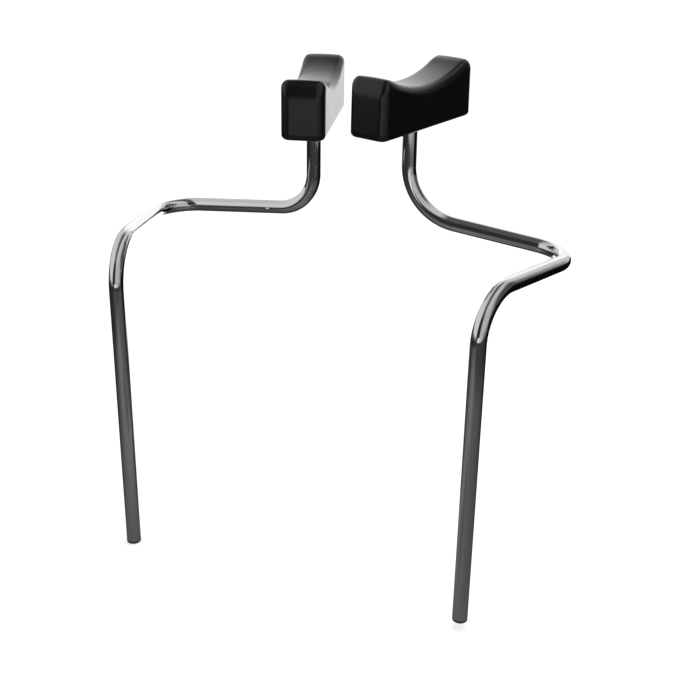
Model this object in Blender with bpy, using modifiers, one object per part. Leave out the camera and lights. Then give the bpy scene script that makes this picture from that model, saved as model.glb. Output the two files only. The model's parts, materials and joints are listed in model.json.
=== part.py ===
"""A pair of underarm supports for a walking frame.

Each support is one chromed steel tube with three bends. Its straight post plugs into a
vertical socket of the frame, and its short upper end carries a moulded saddle pad that
turns on a bush. X runs across the pair, Y from the posts to the pads, and Z up from the
foot of the left post. Lengths are in metres.
"""

import math

import bmesh
import bpy
from mathutils import Vector

# Tube and its centre line, measured between the corners where straight runs would meet.
# The outer arm falls from the post, and the inner arm rises to the pad.
TUBE_DIAMETER = 0.022
TUBE_WALL = 0.0015
SHOULDER_RADIUS = 0.064
ELBOW_RADIUS = 0.050
LEFT_WRIST_RADIUS = 0.060
RIGHT_WRIST_RADIUS = 0.083
POST_SPACING = 0.540
POST_HEIGHT = 0.498
OUTER_ARM = 0.274
INNER_ARM = 0.2655
PAD_RISE = 0.132
SPLAY = math.radians(15)
ELBOW_TURN = math.radians(105)
OUTER_SLOPE = math.radians(5)
INNER_SLOPE = math.radians(6)
RIGHT_RAISE = 0.013

PLUG_FLANGE = 0.004

# Saddle pad, in its own frame: Y along the pad, Z = 0 on its base, the tube's axis at X = Y = 0
PAD_LENGTH = 0.228
PAD_WIDTH = 0.064
PAD_HEIGHT = 0.086
PAD_OFFSET = 0.003
PAD_DIP = 0.022
PAD_HORN_RADIUS = 0.019
PAD_END_LEAN = 0.004
PAD_EDGE = 0.006
POCKET_RADIUS = 0.019
POCKET_TOP = 0.0450

# Board moulded into the pad, and the bracket under it
CORE_LENGTH = 0.190
CORE_WIDTH = 0.046
CORE_THICKNESS = 0.012
CORE_HOLE_RADIUS = 0.018
PLATE_LENGTH = 0.110
PLATE_WIDTH = 0.040
PLATE_THICKNESS = 0.0025
SOCKET_OUTER_RADIUS = 0.015
SOCKET_INNER_RADIUS = 0.0129
SOCKET_TOP = 0.0346
SOCKET_CAP = 0.0030
SCREW_SPACING = 0.080

# Threaded inserts in the board; heights are above the pad's base
INSERT_FLANGE_RADIUS = 0.0080
INSERT_FLANGE = 0.0015
INSERT_RADIUS = 0.0050
INSERT_SEAT = 0.0102
INSERT_FOOT = 0.0020

# Swivel on the tube's upper end
GAP = 0.0003
TUBE_TOP = 0.0285
PLUG_RADIUS = 0.0089
TOP_INSERT_FOOT = 0.0080
THRUST_WASHER_RADIUS = 0.0110
BUSH_TOP = 0.0270
BUSH_INNER_RADIUS = 0.0114
BUSH_OUTER_RADIUS = 0.0125
BUSH_FLANGE_RADIUS = 0.0160
BUSH_FLANGE = 0.0015
WASHER_RADIUS = 0.0120
WASHER_THICKNESS = 0.0016

# Screws
M8_RADIUS = 0.0039
M8_HOLE_RADIUS = 0.0045
M8_HEAD_RADIUS = 0.0075
M8_HEAD_HEIGHT = 0.0053
M8_TIP = 0.0120
M6_RADIUS = 0.0029
M6_HOLE_RADIUS = 0.0034
M6_HEAD_RADIUS = 0.0060
M6_HEAD_HEIGHT = 0.0035

# Facets
TUBE_FACETS = 16
TURNED_FACETS = 24
SMALL_FACETS = 16
BEND_STEPS = 7

# Finishes: colour, metallic, roughness
CHROME = ((0.78, 0.79, 0.81), 1.0, 0.08)
ZINC = ((0.62, 0.63, 0.64), 1.0, 0.35)
STEEL = ((0.45, 0.45, 0.46), 1.0, 0.40)
NYLON = ((0.85, 0.84, 0.80), 0.0, 0.45)
BLACK_PLASTIC = ((0.03, 0.03, 0.03), 0.0, 0.45)
BLACK_FOAM = ((0.02, 0.02, 0.022), 0.0, 0.40)
BOARD = ((0.55, 0.40, 0.25), 0.0, 0.80)

TUBE_RADIUS = TUBE_DIAMETER / 2
UNDER_PLATE = -GAP - PLATE_THICKNESS - GAP
PAD_REACH = OUTER_ARM * math.cos(OUTER_SLOPE) * math.cos(SPLAY)
PAD_HALF_DEPTH = (PAD_LENGTH / 2 + PAD_OFFSET) * math.cos(SPLAY) + PAD_WIDTH / 2 * math.sin(SPLAY)
POST_Y = -(PAD_REACH + PAD_HALF_DEPTH - TUBE_RADIUS) / 2
POST_X = POST_SPACING / 2


def clear_scene():
    """Remove every object that the file starts with."""
    for item in list(bpy.data.objects):
        bpy.data.objects.remove(item)


def new_collection(name):
    """A collection linked to the scene."""
    made = bpy.data.collections.new(name)
    bpy.context.scene.collection.children.link(made)
    return made


def new_material(name, finish):
    """A Principled material for one piece."""
    colour, metallic, roughness = finish
    made = bpy.data.materials.new(name)
    made.use_nodes = True
    shader = made.node_tree.nodes["Principled BSDF"]
    shader.inputs["Base Color"].default_value = (*colour, 1.0)
    shader.inputs["Metallic"].default_value = metallic
    shader.inputs["Roughness"].default_value = roughness
    return made


def add_object(name, data, collection, parent=None):
    """An object in a collection, placed in its parent's frame."""
    made = bpy.data.objects.new(name, data)
    collection.objects.link(made)
    made.parent = parent
    return made


def finish_piece(piece, finish):
    """Give a piece its material and smooth its round faces."""
    piece.data.materials.clear()
    piece.data.materials.append(new_material(piece.name + "_finish", finish))
    if piece.type == "MESH":
        piece.data.shade_smooth()
        piece.data.set_sharp_from_angle(angle=math.radians(30))


def turned(name, profile, collection, parent, facets=TURNED_FACETS):
    """A solid of revolution about Z from (radius, height) points, top to bottom on the outside."""
    mesh = bpy.data.meshes.new(name)
    drawn = bmesh.new()
    corners = [drawn.verts.new((radius, 0, height)) for radius, height in profile]
    for first, second in zip(corners, corners[1:]):
        drawn.edges.new((first, second))
    if profile[0][0] > 0:
        drawn.edges.new((corners[-1], corners[0]))
    drawn.to_mesh(mesh)
    drawn.free()
    made = add_object(name, mesh, collection, parent)
    screw = made.modifiers.new("turn", "SCREW")
    screw.steps = facets
    screw.render_steps = facets
    screw.use_merge_vertices = True
    screw.merge_threshold = 0.00001
    return made


def ring(name, inner, outer, low, high, collection, parent):
    """A plain ring or sleeve."""
    profile = [(outer, high), (outer, low), (inner, low), (inner, high)]
    return turned(name, profile, collection, parent)


def rod(name, radius, low, high, collection, parent, facets=TURNED_FACETS):
    """A plain round bar."""
    profile = [(0, high), (radius, high), (radius, low), (0, low)]
    return turned(name, profile, collection, parent, facets)


def plate(name, outline, low, high, collection, parent):
    """A flat piece from a closed outline of (x, y) points, between two heights."""
    curve = bpy.data.curves.new(name, "CURVE")
    curve.dimensions = "2D"
    curve.fill_mode = "BOTH"
    curve.extrude = (high - low) / 2
    spline = curve.splines.new("POLY")
    spline.points.add(len(outline) - 1)
    for point, (x, y) in zip(spline.points, outline):
        point.co = (x, y, 0, 1)
    spline.use_cyclic_u = True
    drawn = add_object(name, curve, collection, parent)
    drawn.location.z = (low + high) / 2
    made = mesh_of(drawn, collection)
    merge_flat_faces(made.data)
    return made


def merge_flat_faces(mesh):
    """Make each flat side one face, so that a bevel runs cleanly along its edges."""
    merged = bmesh.new()
    merged.from_mesh(mesh)
    straight = math.radians(0.5)
    bmesh.ops.dissolve_limit(
        merged, angle_limit=straight, verts=merged.verts, edges=merged.edges
    )
    merged.to_mesh(mesh)
    merged.free()


def mesh_of(curve_object, collection):
    """Replace a curve object with a mesh object of the same shape and place."""
    bpy.context.view_layer.update()
    evaluated = curve_object.evaluated_get(bpy.context.evaluated_depsgraph_get())
    mesh = bpy.data.meshes.new_from_object(evaluated)
    welded = bmesh.new()
    welded.from_mesh(mesh)
    bmesh.ops.remove_doubles(welded, verts=welded.verts, dist=0.00001)
    welded.to_mesh(mesh)
    welded.free()
    name = curve_object.name
    parent = curve_object.parent
    place = curve_object.matrix_basis.copy()
    bpy.data.objects.remove(curve_object)
    made = add_object(name, mesh, collection, parent)
    made.matrix_basis = place
    return made


def rounded_rectangle(width, length, radius, steps=4):
    """Outline of a rectangle with round corners, centred on the origin."""
    points = []
    for quarter, (sx, sy) in enumerate(((1, 1), (-1, 1), (-1, -1), (1, -1))):
        centre = Vector((sx * (width / 2 - radius), sy * (length / 2 - radius)))
        for step in range(steps + 1):
            angle = math.pi / 2 * (quarter + step / steps)
            offset = Vector((math.cos(angle), math.sin(angle))) * radius
            points.append(tuple(centre + offset))
    return points


def boolean(piece, operation, other):
    """Cut or join a piece with a cutter object."""
    change = piece.modifiers.new(operation.lower(), "BOOLEAN")
    change.operation = operation
    change.solver = "EXACT"
    change.object = other


def as_cutter(piece):
    """Hide a piece that only shapes another."""
    piece.hide_render = True
    piece.display_type = "WIRE"
    return piece


def bent_path(corners, radii, steps):
    """Points along straight runs joined by round bends, one radius for each inner corner."""
    path = [corners[0]]
    for before, corner, after, radius in zip(corners, corners[1:], corners[2:], radii):
        back = (before - corner).normalized()
        ahead = (after - corner).normalized()
        half_angle = back.angle(ahead) / 2
        centre = corner + (back + ahead).normalized() * radius / math.sin(half_angle)
        tangent = radius / math.tan(half_angle)
        start = corner + back * tangent - centre
        end = corner + ahead * tangent - centre
        turn = math.pi - 2 * half_angle
        for step in range(steps + 1):
            share = step / steps
            weight_start = math.sin((1 - share) * turn) / math.sin(turn)
            weight_end = math.sin(share * turn) / math.sin(turn)
            path.append(centre + start * weight_start + end * weight_end)
    path.append(corners[-1])
    return path


def sloping(heading, slope):
    """A unit vector at a heading from +Y towards +X, rising at a slope."""
    level = math.cos(slope)
    return Vector((math.sin(heading) * level, math.cos(heading) * level, math.sin(slope)))


def tube_corners(side):
    """Corners of a support's centre line, above the foot of its post; side is -1 or 1."""
    heading = side * SPLAY
    outward = sloping(heading, -OUTER_SLOPE)
    inward = sloping(heading - side * ELBOW_TURN, INNER_SLOPE)
    foot = Vector((0, 0, PLUG_FLANGE))
    shoulder = Vector((0, 0, POST_HEIGHT))
    elbow = shoulder + outward * OUTER_ARM
    wrist = elbow + inward * INNER_ARM
    top = wrist + Vector((0, 0, PAD_RISE + TUBE_TOP))
    return [foot, shoulder, elbow, wrist, top]


def make_tube(name, side, collection, parent):
    """The bent tube, hollow from end to end."""
    wrist_radius = RIGHT_WRIST_RADIUS if side > 0 else LEFT_WRIST_RADIUS
    radii = (SHOULDER_RADIUS, ELBOW_RADIUS, wrist_radius)
    path = bent_path(tube_corners(side), radii, BEND_STEPS)
    curve = bpy.data.curves.new(name, "CURVE")
    curve.dimensions = "3D"
    curve.bevel_depth = TUBE_RADIUS
    curve.bevel_resolution = (TUBE_FACETS - 4) // 2
    curve.use_fill_caps = False
    spline = curve.splines.new("POLY")
    spline.points.add(len(path) - 1)
    for point, place in zip(spline.points, path):
        point.co = (*place, 1)
    made = mesh_of(add_object(name, curve, collection, parent), collection)
    wall = made.modifiers.new("wall", "SOLIDIFY")
    wall.thickness = TUBE_WALL
    wall.offset = -1
    return made


def make_foot_plug(name, collection, parent):
    """Plastic plug: a flange under the tube's end and a stem inside it."""
    chamfer = 0.0010
    seat = PLUG_FLANGE - GAP
    stem_top = 0.028
    profile = [
        (0, stem_top),
        (PLUG_RADIUS - chamfer, stem_top),
        (PLUG_RADIUS, stem_top - chamfer),
        (PLUG_RADIUS, seat),
        (TUBE_RADIUS, seat),
        (TUBE_RADIUS, chamfer),
        (TUBE_RADIUS - chamfer, 0),
        (0, 0),
    ]
    return turned(name, profile, collection, parent)


def saddle_profile():
    """Side view of the pad as (y, z): flat base, leaning ends, round horns and the dip between them."""
    half = PAD_LENGTH / 2
    horn_y = half - PAD_END_LEAN - PAD_HORN_RADIUS
    horn_z = PAD_HEIGHT - PAD_HORN_RADIUS
    horn_steps = 5
    dip_steps = 14
    rear_horn = []
    for step in range(horn_steps + 1):
        angle = math.pi / 2 * step / horn_steps
        y = horn_y + PAD_HORN_RADIUS * math.cos(angle)
        rear_horn.append((y, horn_z + PAD_HORN_RADIUS * math.sin(angle)))
    dip = []
    for step in range(1, dip_steps):
        y = horn_y * (1 - 2 * step / dip_steps)
        dip.append((y, PAD_HEIGHT - PAD_DIP * (1 - (y / horn_y) ** 2)))
    front_horn = [(-y, z) for y, z in reversed(rear_horn)]
    return [(-half, 0), (half, 0)] + rear_horn + dip + front_horn


def make_pad_foam(name, collection, cutters, parent):
    """Foam saddle with a recess for the board and a pocket for the socket."""
    foam = plate(name, saddle_profile(), -PAD_WIDTH / 2, PAD_WIDTH / 2, collection, parent)
    foam.rotation_euler = (math.radians(90), 0, math.radians(90))
    foam.location.y = PAD_OFFSET
    edge = foam.modifiers.new("edges", "BEVEL")
    edge.width = PAD_EDGE
    edge.segments = 3
    edge.limit_method = "ANGLE"
    edge.angle_limit = math.radians(40)
    outline = rounded_rectangle(CORE_WIDTH + 2 * GAP, CORE_LENGTH + 2 * GAP, 0.0103)
    recess = plate(name + "_recess", outline, -0.01, CORE_THICKNESS + 2 * GAP, cutters, parent)
    pocket = rod(name + "_pocket", POCKET_RADIUS, 0.005, POCKET_TOP, cutters, parent)
    boolean(foam, "DIFFERENCE", as_cutter(recess))
    boolean(foam, "DIFFERENCE", as_cutter(pocket))
    return foam


def make_pad_core(name, collection, cutters, parent):
    """Board with a hole for the socket and two stepped holes for the threaded inserts."""
    outline = rounded_rectangle(CORE_WIDTH, CORE_LENGTH, 0.010)
    core = plate(name, outline, GAP, GAP + CORE_THICKNESS, collection, parent)
    hole = rod(name + "_hole", CORE_HOLE_RADIUS, -0.01, 0.03, cutters, parent)
    boolean(core, "DIFFERENCE", as_cutter(hole))
    for label, y in (("front", -SCREW_SPACING / 2), ("rear", SCREW_SPACING / 2)):
        profile = [
            (0, 0.020),
            (INSERT_FLANGE_RADIUS + GAP, 0.020),
            (INSERT_FLANGE_RADIUS + GAP, INSERT_SEAT),
            (INSERT_RADIUS + GAP, INSERT_SEAT),
            (INSERT_RADIUS + GAP, -0.005),
            (0, -0.005),
        ]
        step = turned(name + "_" + label + "_step", profile, cutters, parent, SMALL_FACETS)
        step.location.y = y
        boolean(core, "DIFFERENCE", as_cutter(step))
    return core


def make_threaded_insert(name, y, collection, parent):
    """Tee insert: a flange on the board's upper face and a threaded barrel down through it."""
    seat = INSERT_SEAT + GAP
    profile = [
        (INSERT_FLANGE_RADIUS, seat + INSERT_FLANGE),
        (INSERT_FLANGE_RADIUS, seat),
        (INSERT_RADIUS, seat),
        (INSERT_RADIUS, INSERT_FOOT),
        (M6_HOLE_RADIUS, INSERT_FOOT),
        (M6_HOLE_RADIUS, seat + INSERT_FLANGE),
    ]
    made = turned(name, profile, collection, parent, SMALL_FACETS)
    made.location.y = y
    return made


def make_pad_screw(name, y, collection, parent):
    """Pan-head screw up through the bracket plate into its insert."""
    profile = [
        (0, INSERT_SEAT),
        (M6_RADIUS, INSERT_SEAT),
        (M6_RADIUS, UNDER_PLATE),
        (M6_HEAD_RADIUS, UNDER_PLATE),
        (M6_HEAD_RADIUS, UNDER_PLATE - M6_HEAD_HEIGHT * 0.5),
        (M6_HEAD_RADIUS * 0.7, UNDER_PLATE - M6_HEAD_HEIGHT),
        (0, UNDER_PLATE - M6_HEAD_HEIGHT),
    ]
    made = turned(name, profile, collection, parent, SMALL_FACETS)
    made.location.y = y
    return made


def make_pad_bracket(name, collection, cutters, parent):
    """Steel plate with the capped socket that turns on the tube's upper end."""
    outline = rounded_rectangle(PLATE_WIDTH, PLATE_LENGTH, 0.008)
    low = -GAP - PLATE_THICKNESS
    under_cap = SOCKET_TOP - SOCKET_CAP
    facets = SMALL_FACETS
    bracket = plate(name, outline, low, -GAP, collection, parent)
    socket = rod(name + "_socket", SOCKET_OUTER_RADIUS, low + 0.001, SOCKET_TOP, cutters, parent)
    bore = rod(name + "_bore", SOCKET_INNER_RADIUS, -0.01, under_cap, cutters, parent)
    screw_hole = rod(name + "_screw_hole", M8_HOLE_RADIUS, 0, 0.05, cutters, parent, facets)
    boolean(bracket, "UNION", as_cutter(socket))
    boolean(bracket, "DIFFERENCE", as_cutter(bore))
    boolean(bracket, "DIFFERENCE", as_cutter(screw_hole))
    for label, y in (("front", -SCREW_SPACING / 2), ("rear", SCREW_SPACING / 2)):
        hole = rod(name + f"_{label}_hole", M6_HOLE_RADIUS, -0.01, 0.01, cutters, parent, facets)
        hole.location.y = y
        boolean(bracket, "DIFFERENCE", as_cutter(hole))
    return bracket


def make_swivel_bush(name, collection, parent):
    """Nylon bush: a sleeve in the socket and a flange under the plate."""
    profile = [
        (BUSH_OUTER_RADIUS, BUSH_TOP),
        (BUSH_OUTER_RADIUS, UNDER_PLATE),
        (BUSH_FLANGE_RADIUS, UNDER_PLATE),
        (BUSH_FLANGE_RADIUS, UNDER_PLATE - BUSH_FLANGE),
        (BUSH_INNER_RADIUS, UNDER_PLATE - BUSH_FLANGE),
        (BUSH_INNER_RADIUS, BUSH_TOP),
    ]
    return turned(name, profile, collection, parent)


def make_retaining_screw(name, collection, cutters, parent):
    """M8 hexagon-head screw down through the socket's cap into the tube's insert."""
    seat = SOCKET_TOP + GAP + WASHER_THICKNESS + GAP
    top = seat + M8_HEAD_HEIGHT
    shank = rod(name, M8_RADIUS, M8_TIP, seat + 0.001, collection, parent, SMALL_FACETS)
    head = rod(name + "_head", M8_HEAD_RADIUS, seat, top, cutters, parent, 6)
    boolean(shank, "UNION", as_cutter(head))
    return shank


def place_support(label, side, collection, cutters):
    """One support with its pad, on an empty at the foot of its post."""
    base = bpy.data.objects.new(label + "_post_axis", None)
    collection.objects.link(base)
    base.location = (side * POST_X, POST_Y, RIGHT_RAISE if side > 0 else 0.0)
    pad = bpy.data.objects.new(label + "_pad_axis", None)
    collection.objects.link(pad)
    pad.parent = base
    pad.location = tube_corners(side)[3] + Vector((0, 0, PAD_RISE))
    pad.rotation_euler.z = -side * SPLAY

    def named(piece):
        return label + "_" + piece

    finish_piece(make_tube(named("tube"), side, collection, base), CHROME)
    finish_piece(make_foot_plug(named("foot_plug"), collection, base), BLACK_PLASTIC)
    place_swivel(named, collection, cutters, pad)
    place_saddle(named, collection, cutters, pad)


def place_swivel(named, collection, cutters, pad):
    """The bracket and everything that lets it turn on the tube."""
    hole = M8_HOLE_RADIUS
    insert_top = TUBE_TOP - GAP
    insert = ring(
        named("top_insert"), hole, PLUG_RADIUS, TOP_INSERT_FOOT, insert_top, collection, pad
    )
    finish_piece(insert, STEEL)
    low = TUBE_TOP + GAP
    high = SOCKET_TOP - SOCKET_CAP - GAP
    thrust = ring(
        named("thrust_washer"), hole, THRUST_WASHER_RADIUS, low, high, collection, pad
    )
    finish_piece(thrust, NYLON)
    finish_piece(make_swivel_bush(named("swivel_bush"), collection, pad), NYLON)
    finish_piece(make_pad_bracket(named("pad_bracket"), collection, cutters, pad), ZINC)
    seat = SOCKET_TOP + GAP
    top = seat + WASHER_THICKNESS
    washer = ring(named("retaining_washer"), hole, WASHER_RADIUS, seat, top, collection, pad)
    finish_piece(washer, ZINC)
    screw = make_retaining_screw(named("retaining_screw"), collection, cutters, pad)
    finish_piece(screw, ZINC)


def place_saddle(named, collection, cutters, pad):
    """The board, its inserts and screws, and the foam moulded round them."""
    finish_piece(make_pad_core(named("pad_core"), collection, cutters, pad), BOARD)
    for end, y in (("front", -SCREW_SPACING / 2), ("rear", SCREW_SPACING / 2)):
        insert = make_threaded_insert(named(end + "_insert"), y, collection, pad)
        finish_piece(insert, STEEL)
        screw = make_pad_screw(named(end + "_pad_screw"), y, collection, pad)
        finish_piece(screw, ZINC)
    finish_piece(make_pad_foam(named("pad_foam"), collection, cutters, pad), BLACK_FOAM)


clear_scene()
parts_collection = new_collection("underarm_supports")
cutter_collection = new_collection("cutters")
place_support("left", -1, parts_collection, cutter_collection)
place_support("right", 1, parts_collection, cutter_collection)
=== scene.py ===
"""Looks for a pair of underarm supports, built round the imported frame.

Fine tubes, saddle pads, foot plugs, bushes and screws stand for their plain CAD nodes. The
rest of the CAD nodes stay and get finished materials. Lengths are in metres.
"""

import json
import math

import bmesh
import bpy
from mathutils import Matrix, Vector


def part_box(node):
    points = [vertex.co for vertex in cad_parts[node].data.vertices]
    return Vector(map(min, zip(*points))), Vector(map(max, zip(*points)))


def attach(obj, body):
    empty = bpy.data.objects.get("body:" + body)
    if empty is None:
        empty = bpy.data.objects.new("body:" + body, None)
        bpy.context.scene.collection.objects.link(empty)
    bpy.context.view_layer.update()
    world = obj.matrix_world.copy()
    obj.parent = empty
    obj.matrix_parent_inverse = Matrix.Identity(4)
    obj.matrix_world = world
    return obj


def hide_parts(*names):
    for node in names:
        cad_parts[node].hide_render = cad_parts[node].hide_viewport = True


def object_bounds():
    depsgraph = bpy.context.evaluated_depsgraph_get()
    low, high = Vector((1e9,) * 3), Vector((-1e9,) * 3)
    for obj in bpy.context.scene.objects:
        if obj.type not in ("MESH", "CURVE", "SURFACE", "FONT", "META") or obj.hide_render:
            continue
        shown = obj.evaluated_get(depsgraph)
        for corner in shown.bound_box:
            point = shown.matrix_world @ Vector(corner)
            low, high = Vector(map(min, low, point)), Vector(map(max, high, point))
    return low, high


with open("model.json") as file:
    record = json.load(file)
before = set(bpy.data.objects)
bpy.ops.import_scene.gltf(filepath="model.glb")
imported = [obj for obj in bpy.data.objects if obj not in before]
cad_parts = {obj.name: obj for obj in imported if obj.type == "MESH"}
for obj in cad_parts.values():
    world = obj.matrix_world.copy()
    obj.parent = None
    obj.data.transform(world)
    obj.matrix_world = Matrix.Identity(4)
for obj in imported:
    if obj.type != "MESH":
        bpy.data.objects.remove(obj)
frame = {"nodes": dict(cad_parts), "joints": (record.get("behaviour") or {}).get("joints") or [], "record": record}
cad_low, cad_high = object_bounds()

SIDES = ("left", "right")
SIGN = {"left": -1, "right": 1}
JOINTS = {joint["name"]: joint for joint in frame["joints"]}

# Tube
TUBE_RADIUS = 0.011
TUBE_WALL = 0.0015
SPLAY = math.radians(15)
OUTER_SLOPE = math.radians(5)
INNER_SLOPE = math.radians(6)
PAD_RISE = 0.132
SHOULDER_RADIUS = 0.064
ELBOW_RADIUS = 0.050
WRIST_RADIUS = {"left": 0.060, "right": 0.083}
BEND_STEPS = 28
RIM_RADIUS = 0.0006
RIM_STEPS = 4

# Saddle pad, in its own frame: Y along it, Z = 0 on its base, the tube's axis at X = Y = 0
PAD_LENGTH = 0.228
PAD_WIDTH = 0.064
PAD_OFFSET = 0.003
PAD_DIP = 0.0225
PAD_CROWN = 0.0012
PAD_CREST = 0.0175
CREST_SOFTNESS = 0.005
PAD_CORNER = 0.0135
PAD_TOP_EDGE = 0.0105
PAD_BASE_EDGE = 0.0075
PAD_LEAN = 0.002
BOARD_WIDTH = 0.0466
BOARD_LENGTH = 0.1906
BOARD_CORNER = 0.0103
BOARD_DEPTH = 0.0126
POCKET_RADIUS = 0.019
POCKET_TOP = 0.045

# Foot plug
PLUG_STEM_RADIUS = 0.0089
PLUG_GAP = 0.0003
PLUG_EDGE = 0.0012
DIMPLE_RADIUS = 0.0032
DIMPLE_FLOOR_RADIUS = 0.0024
DIMPLE_DEPTH = 0.0006

# Swivel bush
BUSH_INNER_RADIUS = 0.0114
BUSH_OUTER_RADIUS = 0.0125
BUSH_FLANGE_RADIUS = 0.0160
BUSH_FLANGE = 0.0015
BUSH_OUTER_EDGE = 0.0004
BUSH_INNER_EDGE = 0.0003

# Button-head screws that hold the pad
SCREW_SPACING = 0.080
SCREW_RADIUS = 0.0029
SCREW_TIP_RADIUS = 0.0025
SCREW_TIP = 0.0006
HEAD_RADIUS = 0.0060
HEAD_HEIGHT = 0.0035
HEAD_RIM = 0.0006
DOME_SWEEP = math.pi / 2 * 0.8
DOME_MARGIN = 0.0002
SOCKET_ACROSS = 0.0040
SOCKET_DEPTH = 0.0016
SOCKET_CONE = 0.0020
SCREW_POINTS = 48


def joint_place(side, name):
    """World position of one of a side's joints."""
    return Vector(JOINTS[f"{side}_{name}"]["pos_m"])


def pad_matrix(side):
    """From a pad's own frame to the world."""
    turn = Matrix.Rotation(-SIGN[side] * SPLAY, 4, "Z")
    return Matrix.Translation(joint_place(side, "pad_swivel")) @ turn


# Materials

WHITE = (1, 1, 1, 1)
EDGE_TINT = (0.8, 0.8, 0.82, 1)


class Nodes:
    """A node tree under construction, with short calls for its nodes."""

    def __init__(self, tree):
        self.tree = tree

    def node(self, kind, values=None, **settings):
        """A node with its settings, and its inputs given as values or as other nodes' outputs."""
        made = self.tree.nodes.new(kind)
        for name, value in settings.items():
            setattr(made, name, value)
        for name, value in (values or {}).items():
            self.put(made.inputs[name], value)
        return made

    def put(self, socket, value):
        """Set an input, or link it to an output."""
        if isinstance(value, bpy.types.NodeSocket):
            self.tree.links.new(value, socket)
        else:
            socket.default_value = value

    def spread(self, value, low, high, start=0.0, end=1.0, kind="LINEAR"):
        """A value from one range mapped to another."""
        values = {"Value": value, "From Min": start, "From Max": end, "To Min": low, "To Max": high}
        made = self.node("ShaderNodeMapRange", values, interpolation_type=kind)
        return made.outputs["Result"]

    def step(self, value, start, end):
        """A smooth step from 0 at start to 1 at end."""
        return self.spread(value, 0.0, 1.0, start, end, "SMOOTHSTEP")

    def window(self, value, low, high, soft):
        """1 between two limits and 0 outside, with soft edges."""
        rise = self.step(value, low - soft / 2, low + soft / 2)
        fall = self.step(value, high + soft / 2, high - soft / 2)
        return self.maths("MULTIPLY", rise, fall)

    def maths(self, operation, first, second=0.0):
        """One arithmetic step."""
        made = self.node("ShaderNodeMath", operation=operation)
        self.put(made.inputs[0], first)
        self.put(made.inputs[1], second)
        return made.outputs[0]

    def mix(self, share, first, second):
        """Two colours mixed."""
        made = self.node("ShaderNodeMix", data_type="RGBA")
        self.put(made.inputs["Factor"], share)
        self.put(made.inputs[6], first)
        self.put(made.inputs[7], second)
        return made.outputs[2]

    def blend(self, share, first, second):
        """Two values mixed."""
        made = self.node("ShaderNodeMix", data_type="FLOAT")
        self.put(made.inputs[0], share)
        self.put(made.inputs[2], first)
        self.put(made.inputs[3], second)
        return made.outputs[0]

    def headings(self, vector):
        """Degrees round from the back towards +X, and from the camera's side towards +X."""
        split = self.node("ShaderNodeSeparateXYZ", {"Vector": vector})
        x, y = split.outputs["X"], split.outputs["Y"]
        back = self.maths("DEGREES", self.maths("ARCTAN2", x, y))
        front = self.maths("DEGREES", self.maths("ARCTAN2", x, self.maths("MULTIPLY", y, -1.0)))
        return back, front


class Look(Nodes):
    """A material under construction."""

    def __init__(self, name):
        self.material = bpy.data.materials.new(name)
        self.material.use_nodes = True
        super().__init__(self.material.node_tree)
        self.shader = self.tree.nodes["Principled BSDF"]

    def place(self, scale=(1, 1, 1)):
        """Object coordinates, stretched."""
        coordinates = self.node("ShaderNodeTexCoord").outputs["Object"]
        mapped = self.node("ShaderNodeMapping", {"Vector": coordinates, "Scale": scale})
        return mapped.outputs["Vector"]

    def noise(self, scale, detail=2.0, stretch=(1, 1, 1), roughness=0.5):
        """A noise value between 0 and 1."""
        values = {
            "Vector": self.place(stretch),
            "Scale": scale,
            "Detail": detail,
            "Roughness": roughness,
        }
        return self.node("ShaderNodeTexNoise", values).outputs["Fac"]

    def bump(self, height, strength, distance, under=None):
        """A bump from a height value, over another bump if there is one."""
        values = {"Height": height, "Strength": strength, "Distance": distance}
        if under is not None:
            values["Normal"] = under
        return self.node("ShaderNodeBump", values).outputs["Normal"]

    def finish(self, **inputs):
        """Set the Principled shader's inputs."""
        for name, value in inputs.items():
            self.put(self.shader.inputs[name.replace("_", " ")], value)
        return self.material


def chrome_look():
    """Mirror chrome over drawn tube: nearly clean, with a faint haze and fine wiping marks."""
    look = Look("chrome_plate")
    haze = look.noise(9.0, 3.0)
    wipe = look.noise(260.0, 2.0, (1, 1, 0.08))
    rough = look.maths("ADD", look.spread(haze, 0.02, 0.05), look.spread(wipe, 0.0, 0.02))
    tint = look.mix(haze, (0.74, 0.75, 0.77, 1), (0.84, 0.84, 0.85, 1))
    soft = look.bump(look.noise(22.0, 1.0), 0.15, 0.002)
    fine = look.bump(wipe, 0.02, 0.0003, soft)
    return look.finish(
        Base_Color=tint,
        Metallic=1.0,
        Roughness=rough,
        Specular_Tint=EDGE_TINT,
        Normal=fine,
    )


def skin_look():
    """Black integral-skin foam: satin, with a fine leather grain."""
    look = Look("polyurethane_skin")
    cells = look.node(
        "ShaderNodeTexVoronoi",
        {"Vector": look.place(), "Scale": 620.0, "Randomness": 1.0},
        feature="SMOOTH_F1",
    ).outputs["Distance"]
    pores = look.noise(1500.0, 2.0)
    grain = look.maths("ADD", cells, look.maths("MULTIPLY", pores, 0.4))
    cloud = look.noise(22.0, 3.0)
    rough = look.maths("ADD", look.spread(cloud, 0.19, 0.26), look.spread(cells, -0.02, 0.05))
    colour = look.mix(cloud, (0.0020, 0.0021, 0.0029, 1), (0.0036, 0.0036, 0.0048, 1))
    swell = look.bump(look.noise(35.0, 1.0), 0.08, 0.002)
    relief = look.bump(grain, 0.12, 0.0003, swell)
    return look.finish(Base_Color=colour, Roughness=rough, Specular_IOR_Level=0.5, Normal=relief)


def plug_look():
    """Black moulded polyethylene, dusty at the foot."""
    look = Look("plug_plastic")
    dust = look.noise(180.0, 4.0)
    share = look.spread(dust, 0.0, 0.6)
    colour = look.mix(share, (0.018, 0.018, 0.019, 1), (0.06, 0.058, 0.055, 1))
    relief = look.bump(look.noise(1300.0, 2.0), 0.15, 0.0002)
    rough = look.spread(dust, 0.35, 0.6)
    return look.finish(Base_Color=colour, Roughness=rough, Normal=relief)


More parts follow.
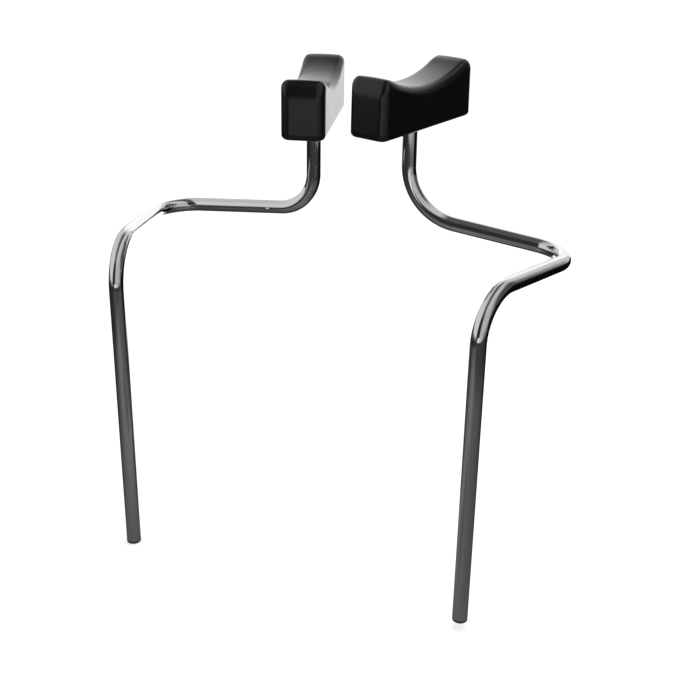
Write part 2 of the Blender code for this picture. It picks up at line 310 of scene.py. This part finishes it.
def zinc_look():
    """Bright zinc plate with a cloudy, slightly warm and blue passivation."""
    look = Look("zinc_plate")
    cloud = look.noise(70.0, 4.0)
    spangle = look.noise(420.0, 2.0)
    colour = look.mix(cloud, (0.50, 0.52, 0.56, 1), (0.66, 0.64, 0.58, 1))
    rough = look.maths("ADD", look.spread(cloud, 0.22, 0.36), look.spread(spangle, -0.03, 0.06))
    relief = look.bump(spangle, 0.08, 0.0002)
    return look.finish(Base_Color=colour, Metallic=1.0, Roughness=rough, Normal=relief)


def steel_look():
    """Plain turned steel with fine tool lines."""
    look = Look("turned_steel")
    lines = look.noise(900.0, 1.0, (0.05, 0.05, 1.0))
    cloud = look.noise(60.0, 3.0)
    colour = look.mix(cloud, (0.34, 0.34, 0.35, 1), (0.48, 0.47, 0.46, 1))
    rough = look.spread(lines, 0.28, 0.48)
    relief = look.bump(lines, 0.2, 0.0002)
    return look.finish(Base_Color=colour, Metallic=1.0, Roughness=rough, Normal=relief)


def nylon_look():
    """Natural nylon, slightly translucent."""
    look = Look("natural_nylon")
    cloud = look.noise(120.0, 2.0)
    colour = look.mix(cloud, (0.74, 0.72, 0.65, 1), (0.82, 0.80, 0.75, 1))
    rough = look.spread(cloud, 0.35, 0.5)
    relief = look.bump(look.noise(1600.0, 1.0), 0.1, 0.0002)
    return look.finish(
        Base_Color=colour,
        Roughness=rough,
        Normal=relief,
        Subsurface_Weight=0.15,
        Subsurface_Scale=0.002,
    )


def board_look():
    """Birch plywood: grain along the board, with darker figure."""
    look = Look("birch_plywood")
    fibre = look.noise(240.0, 4.0, (1.0, 0.06, 1.0))
    figure = look.noise(30.0, 2.0, (1.0, 0.15, 1.0))
    face = look.mix(fibre, (0.40, 0.27, 0.15, 1), (0.62, 0.47, 0.30, 1))
    colour = look.mix(look.spread(figure, 0.0, 0.5), face, (0.36, 0.23, 0.12, 1))
    relief = look.bump(fibre, 0.3, 0.0003)
    rough = look.spread(fibre, 0.6, 0.85)
    return look.finish(Base_Color=colour, Roughness=rough, Normal=relief)


LOOKS = {
    "chrome_tube": chrome_look(),
    "black_pu": skin_look(),
    "black_plastic": plug_look(),
    "zinc_steel": zinc_look(),
    "plain_steel": steel_look(),
    "nylon": nylon_look(),
    "board": board_look(),
}


# Mesh helpers


def add_piece(name, mesh, slot, body, node, sharp=35):
    """Add a smooth piece with its slot's material, riding on a body and standing for a CAD node."""
    mesh.materials.clear()
    mesh.materials.append(LOOKS[slot])
    mesh.shade_smooth()
    mesh.set_sharp_from_angle(angle=math.radians(sharp))
    made = bpy.data.objects.new(name, mesh)
    bpy.context.scene.collection.objects.link(made)
    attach(made, body)
    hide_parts(node)


def mesh_from_loops(name, loops, cyclic=False, first_pole=None, last_pole=None):
    """Quads between loops of equally many points, closed by poles or back onto the first loop."""
    built = bmesh.new()
    rows = [[built.verts.new(point) for point in loop] for loop in loops]
    count = len(loops[0])
    pairs = list(zip(rows, rows[1:]))
    if cyclic:
        pairs.append((rows[-1], rows[0]))
    for low, high in pairs:
        for i in range(count):
            j = (i + 1) % count
            built.faces.new((low[i], low[j], high[j], high[i]))
    for pole, row in ((first_pole, rows[0]), (last_pole, rows[-1])):
        if pole is not None:
            tip = built.verts.new(pole)
            for i in range(count):
                built.faces.new((row[i], row[(i + 1) % count], tip))
    bmesh.ops.remove_doubles(built, verts=built.verts, dist=0.000001)
    bmesh.ops.recalc_face_normals(built, faces=built.faces)
    mesh = bpy.data.meshes.new(name)
    built.to_mesh(mesh)
    built.free()
    return mesh


def circle(radius, height, count=64):
    """A level ring of points."""
    turns = [2 * math.pi * i / count for i in range(count)]
    return [Vector((radius * math.cos(a), radius * math.sin(a), height)) for a in turns]


def turned_mesh(name, profile, place, count=64):
    """A solid of revolution from (radius, height) points; a zero radius at an end is a pole."""
    first = Vector((0, 0, profile[0][1])) if profile[0][0] == 0 else None
    last = Vector((0, 0, profile[-1][1])) if profile[-1][0] == 0 else None
    rings = [circle(radius, height, count) for radius, height in profile if radius > 0]
    closed = first is None
    mesh = mesh_from_loops(name, rings, closed, first, last)
    mesh.transform(place)
    return mesh


def rounded(profile, radius, steps=5):
    """A profile whose corners, other than its ends, become arcs."""
    points = [Vector(point) for point in profile]
    made = [points[0]]
    for before, corner, after in zip(points, points[1:], points[2:]):
        back = before - corner
        ahead = after - corner
        reach = min(radius, back.length * 0.45, ahead.length * 0.45)
        start = corner + back.normalized() * reach
        end = corner + ahead.normalized() * reach
        for step in range(steps + 1):
            t = step / steps
            made.append(start * (1 - t) ** 2 + corner * 2 * t * (1 - t) + end * t * t)
    made.append(points[-1])
    return [tuple(point) for point in made]


# Tubes


def tube_corners(side):
    """Corners of a tube's centre line, worked out from its joints and its CAD node."""
    foot = joint_place(side, "swing")
    pad = joint_place(side, "pad_swivel")
    low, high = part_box(side + "_tube")
    reach = pad.y - foot.y
    elbow_x = foot.x + SIGN[side] * reach * math.tan(SPLAY)
    wrist_z = pad.z - PAD_RISE
    elbow_z = wrist_z - abs(elbow_x - pad.x) * math.tan(INNER_SLOPE)
    shoulder_z = elbow_z + reach / math.cos(SPLAY) * math.tan(OUTER_SLOPE)
    return [
        Vector((foot.x, foot.y, low.z)),
        Vector((foot.x, foot.y, shoulder_z)),
        Vector((elbow_x, pad.y, elbow_z)),
        Vector((pad.x, pad.y, wrist_z)),
        Vector((pad.x, pad.y, high.z)),
    ]


def bent_path(corners, radii, steps):
    """Points along straight runs joined by round bends, one radius for each inner corner."""
    path = [corners[0]]
    for before, corner, after, radius in zip(corners, corners[1:], corners[2:], radii):
        back = (before - corner).normalized()
        ahead = (after - corner).normalized()
        half_angle = back.angle(ahead) / 2
        centre = corner + (back + ahead).normalized() * radius / math.sin(half_angle)
        tangent = radius / math.tan(half_angle)
        start = corner + back * tangent - centre
        end = corner + ahead * tangent - centre
        turn = math.pi - 2 * half_angle
        for step in range(steps + 1):
            share = step / steps
            weight_start = math.sin((1 - share) * turn) / math.sin(turn)
            weight_end = math.sin(share * turn) / math.sin(turn)
            path.append(centre + start * weight_start + end * weight_end)
    path.append(corners[-1])
    return path


def make_tube(side):
    """The bent tube, its cut end at the foot slightly rounded."""
    corners = tube_corners(side)
    path = bent_path(corners, (SHOULDER_RADIUS, ELBOW_RADIUS, WRIST_RADIUS[side]), BEND_STEPS)
    up = Vector((0, 0, 1))
    points = []
    for step in range(RIM_STEPS + 1):
        angle = math.pi / 2 * step / RIM_STEPS
        rise = RIM_RADIUS * (1 - math.cos(angle))
        inset = RIM_RADIUS * (1 - math.sin(angle))
        points.append((path[0] + up * rise, 1 - inset / TUBE_RADIUS))
    points += [(point, 1.0) for point in path[1:]]
    curve = bpy.data.curves.new(side + "_tube_line", "CURVE")
    curve.dimensions = "3D"
    curve.bevel_depth = TUBE_RADIUS
    curve.bevel_resolution = 22
    spline = curve.splines.new("POLY")
    spline.points.add(len(points) - 1)
    for point, (place, factor) in zip(spline.points, points):
        point.co = (*place, 1)
        point.radius = factor
    drawn = bpy.data.objects.new(side + "_tube_line", curve)
    bpy.context.scene.collection.objects.link(drawn)
    wall = drawn.modifiers.new("wall", "SOLIDIFY")
    wall.thickness = TUBE_WALL
    wall.offset = -1
    bpy.context.view_layer.update()
    shape = drawn.evaluated_get(bpy.context.evaluated_depsgraph_get())
    mesh = bpy.data.meshes.new_from_object(shape)
    bpy.data.objects.remove(drawn)
    name = side + "_chromed_tube"
    add_piece(name, mesh, "chrome_tube", side + "_support", side + "_tube")


# Saddle pads


def pad_outline(width, length, radius, corner_steps=12, side_steps=46, end_steps=12):
    """A rounded rectangle as (point, outward normal) pairs, the same on its left and right."""
    made = []
    half_w = width / 2 - radius
    half_l = length / 2 - radius
    runs = (
        ((1, 1), 0, end_steps),
        ((-1, 1), 1, side_steps),
        ((-1, -1), 2, end_steps),
        ((1, -1), 3, side_steps),
    )
    centres = [Vector((sx * half_w, sy * half_l)) for (sx, sy), _, _ in runs]
    for (_, quarter, steps), centre, following in zip(runs, centres, centres[1:] + centres[:1]):
        for step in range(corner_steps + 1):
            angle = math.pi / 2 * (quarter + step / corner_steps)
            normal = Vector((math.cos(angle), math.sin(angle)))
            made.append((centre + normal * radius, normal))
        last = made[-1]
        offset = following - centre
        for step in range(1, steps):
            made.append((last[0] + offset * step / steps, last[1]))
    return made


def saddle_height(y, height):
    """Height of the pad's top along its middle: a dip between two horns with round ends."""
    half = PAD_LENGTH / 2
    horn = half - PAD_CREST
    dip = height - PAD_DIP * (1 - (y / horn) ** 2)
    over = min(max(abs(y) - horn, 0.0), PAD_CREST)
    end = height - PAD_CREST + math.sqrt(PAD_CREST**2 - over**2)
    gap = max(CREST_SOFTNESS - abs(dip - end), 0.0) / CREST_SOFTNESS
    return min(dip, end) - gap * gap * CREST_SOFTNESS / 4


def pad_point(x, y, z, height):
    """A point of the pad, its ends leaning in towards the top."""
    lean = 1 - PAD_LEAN / (PAD_LENGTH / 2) * z / height
    return Vector((x, y * lean + PAD_OFFSET, z))


def pad_loops(height):
    """Loops of the pad's surface, from the pocket under its base up to the top of the saddle."""
    outline = pad_outline(PAD_WIDTH, PAD_LENGTH, PAD_CORNER)
    recess = pad_outline(BOARD_WIDTH, BOARD_LENGTH, BOARD_CORNER)
    loops = []
    pocket = []
    for point, _ in outline:
        angle = math.atan2(point.y / PAD_LENGTH, point.x / PAD_WIDTH)
        pocket.append(Vector((math.cos(angle), math.sin(angle), 0)) * POCKET_RADIUS)
    loops.append([point + Vector((0, 0, POCKET_TOP)) for point in pocket])
    loops.append([point + Vector((0, 0, BOARD_DEPTH)) for point in pocket])
    loops.append([Vector((point.x, point.y, BOARD_DEPTH)) for point, _ in recess])
    loops.append([Vector((point.x, point.y, 0)) for point, _ in recess])
    base_steps = 7
    for step in range(base_steps + 1):
        angle = math.pi / 2 * step / base_steps
        inset = PAD_BASE_EDGE * (1 - math.sin(angle))
        z = PAD_BASE_EDGE * (1 - math.cos(angle))
        loops.append([pad_point(*(p - n * inset), z, height) for p, n in outline])
    tops = [saddle_height(p.y, height) - PAD_TOP_EDGE for p, _ in outline]
    wall_steps = 16
    for step in range(1, wall_steps + 1):
        share = step / wall_steps
        loop = []
        for (point, _), top in zip(outline, tops):
            z = PAD_BASE_EDGE + (top - PAD_BASE_EDGE) * share
            loop.append(pad_point(*point, z, height))
        loops.append(loop)
    top_steps = 10
    for step in range(1, top_steps + 1):
        angle = math.pi / 2 * step / top_steps
        inset = PAD_TOP_EDGE * (1 - math.cos(angle))
        drop = PAD_TOP_EDGE * (1 - math.sin(angle))
        loops.append([top_point(p - n * inset, drop, height) for p, n in outline])
    spine = PAD_LENGTH / 2 - PAD_WIDTH / 2
    inner_steps = 10
    for step in range(1, inner_steps + 1):
        share = step / inner_steps
        loop = []
        for point, normal in outline:
            rim = point - normal * PAD_TOP_EDGE
            middle = Vector((0, min(max(rim.y, -spine), spine)))
            loop.append(top_point(rim.lerp(middle, share), 0, height))
        loops.append(loop)
    return loops


def top_point(point, drop, height):
    """A point on the saddle, a little lower towards its long edges."""
    crown = PAD_CROWN * (2 * point.x / PAD_WIDTH) ** 2
    return pad_point(point.x, point.y, saddle_height(point.y, height) - crown - drop, height)


def make_pad(side):
    """The moulded foam saddle, open below for the board, the bracket's socket and its screw."""
    low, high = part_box(side + "_pad_foam")
    loops = pad_loops(high.z - low.z)
    ceiling = Vector((0, 0, POCKET_TOP))
    mesh = mesh_from_loops(side + "_saddle", loops, first_pole=ceiling)
    mesh.transform(pad_matrix(side))
    name = side + "_moulded_saddle"
    add_piece(name, mesh, "black_pu", side + "_pad", side + "_pad_foam", sharp=50)


# Small visible pieces


def make_plug(side):
    """The plug in the post's foot, with a moulded dimple under it."""
    foot = joint_place(side, "swing")
    _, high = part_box(side + "_foot_plug")
    tube_low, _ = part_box(side + "_tube")
    seat = tube_low.z - foot.z - PLUG_GAP
    top = high.z - foot.z
    outline = (
        (0, top),
        (PLUG_STEM_RADIUS, top),
        (PLUG_STEM_RADIUS, seat),
        (TUBE_RADIUS, seat),
        (TUBE_RADIUS, 0),
        (DIMPLE_RADIUS, 0),
        (DIMPLE_FLOOR_RADIUS, DIMPLE_DEPTH),
        (0, DIMPLE_DEPTH),
    )
    profile = rounded(outline, PLUG_EDGE)
    mesh = turned_mesh(side + "_plug", profile, Matrix.Translation(foot))
    name = side + "_post_plug"
    add_piece(name, mesh, "black_plastic", side + "_foot", side + "_foot_plug")


def make_bush(side):
    """The flanged bush between tube and bracket."""
    low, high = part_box(side + "_swivel_bush")
    place = joint_place(side, "pad_swivel")
    bottom = low.z - place.z
    top = high.z - place.z
    under_plate = bottom + BUSH_FLANGE
    profile = (
        (BUSH_OUTER_RADIUS, top),
        (BUSH_OUTER_RADIUS, under_plate),
        (BUSH_FLANGE_RADIUS, under_plate),
        (BUSH_FLANGE_RADIUS, bottom + BUSH_OUTER_EDGE),
        (BUSH_FLANGE_RADIUS - BUSH_OUTER_EDGE, bottom),
        (BUSH_INNER_RADIUS + BUSH_INNER_EDGE, bottom),
        (BUSH_INNER_RADIUS, bottom + BUSH_INNER_EDGE),
        (BUSH_INNER_RADIUS, top),
    )
    mesh = turned_mesh(side + "_bush", profile, pad_matrix(side), 72)
    name = side + "_flanged_bush"
    add_piece(name, mesh, "nylon", side + "_pad", side + "_swivel_bush")


def head_loops(seat):
    """Rings of a screw's domed head, from its seat down to the rim of its socket."""
    dome_steps = 8
    loops = [circle(HEAD_RADIUS, seat, SCREW_POINTS)]
    dome = HEAD_HEIGHT - HEAD_RIM
    for step in range(dome_steps + 1):
        angle = DOME_SWEEP * step / dome_steps
        radius = HEAD_RADIUS * math.cos(angle) + DOME_MARGIN
        z = seat - HEAD_RIM - dome * math.sin(angle) / math.sin(DOME_SWEEP)
        loops.append(circle(min(radius, HEAD_RADIUS), z, SCREW_POINTS))
    return loops


def hexagon(across, height):
    """A level hexagon ring with as many points as a screw's other rings."""
    loop = []
    for i in range(SCREW_POINTS):
        angle = 2 * math.pi * i / SCREW_POINTS
        sector = (angle % (math.pi / 3)) - math.pi / 6
        radius = across / 2 / math.cos(sector)
        loop.append(Vector((radius * math.cos(angle), radius * math.sin(angle), height)))
    return loop


def make_pad_screw(side, end):
    """A button-head screw with a hexagon socket, seen from below."""
    node = f"{side}_{end}_pad_screw"
    low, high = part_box(node)
    place = joint_place(side, "pad_swivel")
    along = SCREW_SPACING / 2 * (-1 if end == "front" else 1)
    bottom = low.z - place.z
    seat = bottom + HEAD_HEIGHT
    top = high.z - place.z
    loops = [
        circle(SCREW_TIP_RADIUS, top, SCREW_POINTS),
        circle(SCREW_RADIUS, top - SCREW_TIP, SCREW_POINTS),
        circle(SCREW_RADIUS, seat, SCREW_POINTS),
    ]
    loops += head_loops(seat)
    loops.append(hexagon(SOCKET_ACROSS, bottom))
    loops.append(hexagon(SOCKET_ACROSS, bottom + SOCKET_DEPTH))
    first = Vector((0, 0, top))
    last = Vector((0, 0, bottom + SOCKET_CONE))
    mesh = mesh_from_loops(node, loops, first_pole=first, last_pole=last)
    mesh.transform(pad_matrix(side) @ Matrix.Translation((0, along, 0)))
    add_piece(f"{side}_{end}_button_screw", mesh, "zinc_steel", side + "_pad", node)


def paint_cad_nodes():
    """Give every CAD node that stays its slot's material."""
    slots = {part["node"]: part["material_slot"] for part in frame["record"]["subparts"]}
    for name, node in frame["nodes"].items():
        node.data.materials.clear()
        node.data.materials.append(LOOKS[slots[name]])


# Stage: floor, world, lights and camera

FLOOR_RADIUS = 12.0
FLOOR_GAP = 0.0005
FLOOR_PAINT = (0.65, 0.65, 0.65, 1)
FLOOR_GLOW = 0.42
CAMERA_PLACE = (0.6235, -1.5129, 1.0608)
CAMERA_HEADING = math.radians(22.4)
CAMERA_PITCH = math.radians(24.2)
CAMERA_ROLL = math.radians(0.8)
CAMERA_LENS = 62.26
SENSOR_WIDTH = 36
LAMP_PLACE = (0.3, 0.4, 2.4)
LAMP_AIM = (0, 0, 0.6)
LAMP_SIZE = 1.6
LAMP_POWER = 14

# The floor in mirrors, a painted reflection: a glow that only mirror rays see. Pairs of places
# are where a soft edge starts and ends; the others are strengths. Headings are in degrees.
VIEW_SIDE = (0.381, -0.925, 0)
MAT_STRENGTH = (0.06, 0.18)
MAT_TINT = (0.62, 0.55, 0.56, 1)
MAT_EDGE = (1.35, 1.75)
FAR_POOL_CENTRE = (-0.3, 0, 0)
FAR_POOL_EDGE = (2.2, 3.0)
FAR_POOL_STRENGTH = (0.8, 0.28)
HAZE_EDGE = (2.4, 3.6)
HAZE_STRENGTH = 0.2
DIM_FLOOR = (0.014, 0.045)
CORNER_DEPTH = (0.1, 0.5)
CORNER_ACROSS = (0.0, 0.2)
CORNER_STRENGTH = 0.006
SUNLIT_DEPTH = (0.4, 0.9)
SUNLIT_ACROSS = (0.15, -0.1)
SUNLIT_HEADING = (-54, -44)
SUNLIT_STRENGTH = 1.65

# The world in mirrors, as strengths
PALE_WALL = 0.9
DARK_WALL = 0.1
FRONT_WALL = 0.65
FIGURE = 0.04
PALE_CEILING = 0.75
DARK_CEILING = 0.12
WINDOW_STRENGTH = (2.5, 1.6)


def product(look, *values):
    """Several values multiplied together."""
    made = values[0]
    for value in values[1:]:
        made = look.maths("MULTIPLY", made, value)
    return made


def painted_mat_reflection(look, place, distance, across, depth):
    """The painted reflection of a dark mat under the object: lighter towards the camera, dimmer to the left and
    far off.
    """
    facing = look.node("ShaderNodeVectorMath", {0: place}, operation="NORMALIZE").outputs[0]
    dot = look.node("ShaderNodeVectorMath", {0: facing, 1: VIEW_SIDE}, operation="DOT_PRODUCT")
    shade = product(
        look,
        look.window(across, 0.0, 0.2, 0.16),
        look.window(depth, -0.62, -0.22, 0.2),
    )
    return product(
        look,
        look.spread(dot.outputs["Value"], *MAT_STRENGTH, -0.2, 0.95),
        look.spread(across, 0.55, 1.0, -0.7, -0.3),
        look.spread(distance, 1.0, 0.5, 0.95, 1.2),
        look.spread(shade, 1.0, 0.6),
    )


def painted_room_reflection(look, place, distance, front):
    """The painted reflection of the room's floor beyond the mat: a pool of light in front, and a faint haze of
    light to the left.
    """
    values = {0: place, 1: FAR_POOL_CENTRE}
    offset = look.node("ShaderNodeVectorMath", values, operation="DISTANCE").outputs["Value"]
    pool = product(
        look,
        look.window(front, -3, 88, 6),
        look.step(offset, *FAR_POOL_EDGE),
        look.spread(front, *FAR_POOL_STRENGTH, 15, 65),
    )
    haze = product(
        look,
        look.window(front, -85, -20, 10),
        look.step(distance, *HAZE_EDGE),
        HAZE_STRENGTH,
    )
    dim = look.spread(front, *DIM_FLOOR, -75, 0)
    return look.maths("MAXIMUM", look.maths("MAXIMUM", pool, haze), dim)


def sunlit_share(look, distance, across, depth, back):
    """How far the floor at the back left, under the window, is lit."""
    far = product(look, look.step(distance, 2.2, 2.8), look.step(back, 16, 9))
    aside = look.maths("MAXIMUM", look.step(across, *SUNLIT_ACROSS), far)
    return product(
        look,
        look.step(depth, *SUNLIT_DEPTH),
        aside,
        look.step(back, *SUNLIT_HEADING),
    )


def mirror_floor(look):
    """Colour and strength of the floor as mirrors see it: a painted reflection of a dark mat on a patchy room
    floor, nearly black towards the back right.
    """
    place = look.node("ShaderNodeNewGeometry").outputs["Position"]
    back, front = look.headings(place)
    split = look.node("ShaderNodeSeparateXYZ", {"Vector": place})
    across, depth = split.outputs["X"], split.outputs["Y"]
    distance = look.node("ShaderNodeVectorMath", {0: place}, operation="LENGTH").outputs["Value"]
    beyond = look.step(distance, *MAT_EDGE)
    # Painted reflection of a dark mat, lit by no lamp.
    mat = painted_mat_reflection(look, place, distance, across, depth)
    seen = look.blend(beyond, mat, painted_room_reflection(look, place, distance, front))
    # Painted reflection: the floor in mirrors goes nearly black towards the back right.
    corner = product(look, look.step(depth, *CORNER_DEPTH), look.step(across, *CORNER_ACROSS))
    seen = look.blend(corner, seen, CORNER_STRENGTH)
    sunlit = sunlit_share(look, distance, across, depth, back)
    seen = look.blend(sunlit, seen, SUNLIT_STRENGTH)
    tint = look.mix(look.step(across, 0.0, 0.4), WHITE, MAT_TINT)
    return look.mix(beyond, tint, WHITE), seen


def make_floor():
    """A pale floor to the eye and to diffuse light; in mirrors it shows a painted reflection of a darker floor."""
    built = bmesh.new()
    bmesh.ops.create_circle(built, cap_ends=True, segments=64, radius=FLOOR_RADIUS)
    mesh = bpy.data.meshes.new("floor")
    built.to_mesh(mesh)
    built.free()
    floor = bpy.data.objects.new("floor", mesh)
    bpy.context.scene.collection.objects.link(floor)
    floor.location = (0, 0, cad_low.z - FLOOR_GAP)
    look = Look("floor_paint")
    tint, seen = mirror_floor(look)
    # Painted reflection: a glow that only glossy rays see in place of the pale floor.
    mirror = look.node("ShaderNodeEmission", {"Color": tint, "Strength": seen})
    paint = look.node("ShaderNodeBsdfDiffuse", {"Color": FLOOR_PAINT})
    glow = look.node("ShaderNodeEmission", {"Strength": FLOOR_GLOW})
    pale = look.node("ShaderNodeAddShader", {0: paint.outputs[0], 1: glow.outputs[0]})
    glossy = look.node("ShaderNodeLightPath").outputs["Is Glossy Ray"]
    mixed = look.node("ShaderNodeMixShader", {0: glossy, 1: pale.outputs[0], 2: mirror.outputs[0]})
    output = look.tree.nodes["Material Output"]
    look.put(output.inputs["Surface"], mixed.outputs[0])
    look.material.cycles.emission_sampling = "NONE"
    mesh.materials.append(look.material)


def mirror_world(sky):
    """Strength of the world as mirrors see it: walls, a figure in front, a ceiling and a window."""
    direction = sky.node("ShaderNodeTexCoord").outputs["Generated"]
    back, front = sky.headings(direction)
    split = sky.node("ShaderNodeSeparateXYZ", {"Vector": direction})
    across, up = split.outputs["X"], split.outputs["Z"]
    walls = sky.blend(sky.step(back, 26, 50), PALE_WALL, DARK_WALL)
    walls = sky.blend(sky.step(back, 80, 115), walls, FRONT_WALL)
    walls = sky.blend(sky.window(front, -26, 15, 6), walls, FIGURE)
    ceiling = sky.blend(sky.window(across, -0.32, 0.12, 0.25), PALE_CEILING, DARK_CEILING)
    seen = sky.blend(sky.step(up, 0.55, 0.85), walls, ceiling)
    window = product(sky, sky.window(back, -33, 10, 12), sky.step(up, 0.95, 0.3))
    return sky.blend(window, seen, sky.spread(back, *WINDOW_STRENGTH, -26, -20))


def make_world():
    """White to the eye, and a studio with a window to mirrors."""
    world = bpy.data.worlds.new("studio")
    bpy.context.scene.world = world
    world.use_nodes = True
    world.cycles.sampling_method = "NONE"
    world.node_tree.nodes.clear()
    sky = Nodes(world.node_tree)
    glossy = sky.node("ShaderNodeBackground", {"Strength": mirror_world(sky)})
    plain = sky.node("ShaderNodeBackground", {"Color": WHITE, "Strength": 1.0})
    chosen = sky.node("ShaderNodeLightPath").outputs["Is Glossy Ray"]
    mixed = sky.node("ShaderNodeMixShader", {0: chosen, 1: plain.outputs[0], 2: glossy.outputs[0]})
    sky.node("ShaderNodeOutputWorld", {"Surface": mixed.outputs[0]})


def make_light(name, place, aim, size, power):
    """A soft square lamp that mirrors don't show."""
    lamp = bpy.data.lights.new(name, "AREA")
    lamp.shape = "SQUARE"
    lamp.size = size
    lamp.energy = power
    made = bpy.data.objects.new(name, lamp)
    bpy.context.scene.collection.objects.link(made)
    made.location = place
    made.rotation_euler = (Vector(aim) - Vector(place)).to_track_quat("-Z", "Y").to_euler()
    made.visible_glossy = False


def make_camera():
    """The camera at the photograph's viewing angle."""
    lens = bpy.data.cameras.new("camera")
    lens.lens = CAMERA_LENS
    lens.sensor_width = SENSOR_WIDTH
    camera = bpy.data.objects.new("camera", lens)
    bpy.context.scene.collection.objects.link(camera)
    camera.matrix_world = (
        Matrix.Translation(CAMERA_PLACE)
        @ Matrix.Rotation(CAMERA_HEADING, 4, "Z")
        @ Matrix.Rotation(math.pi / 2 - CAMERA_PITCH, 4, "X")
        @ Matrix.Rotation(CAMERA_ROLL, 4, "Z")
    )
    bpy.context.scene.camera = camera


paint_cad_nodes()
for side_name in SIDES:
    make_tube(side_name)
    make_pad(side_name)
    make_plug(side_name)
    make_bush(side_name)
    for end_name in ("front", "rear"):
        make_pad_screw(side_name, end_name)

make_floor()
make_world()
make_light("overhead", LAMP_PLACE, LAMP_AIM, LAMP_SIZE, LAMP_POWER)
make_camera()
bpy.context.scene.view_settings.view_transform = "Standard"
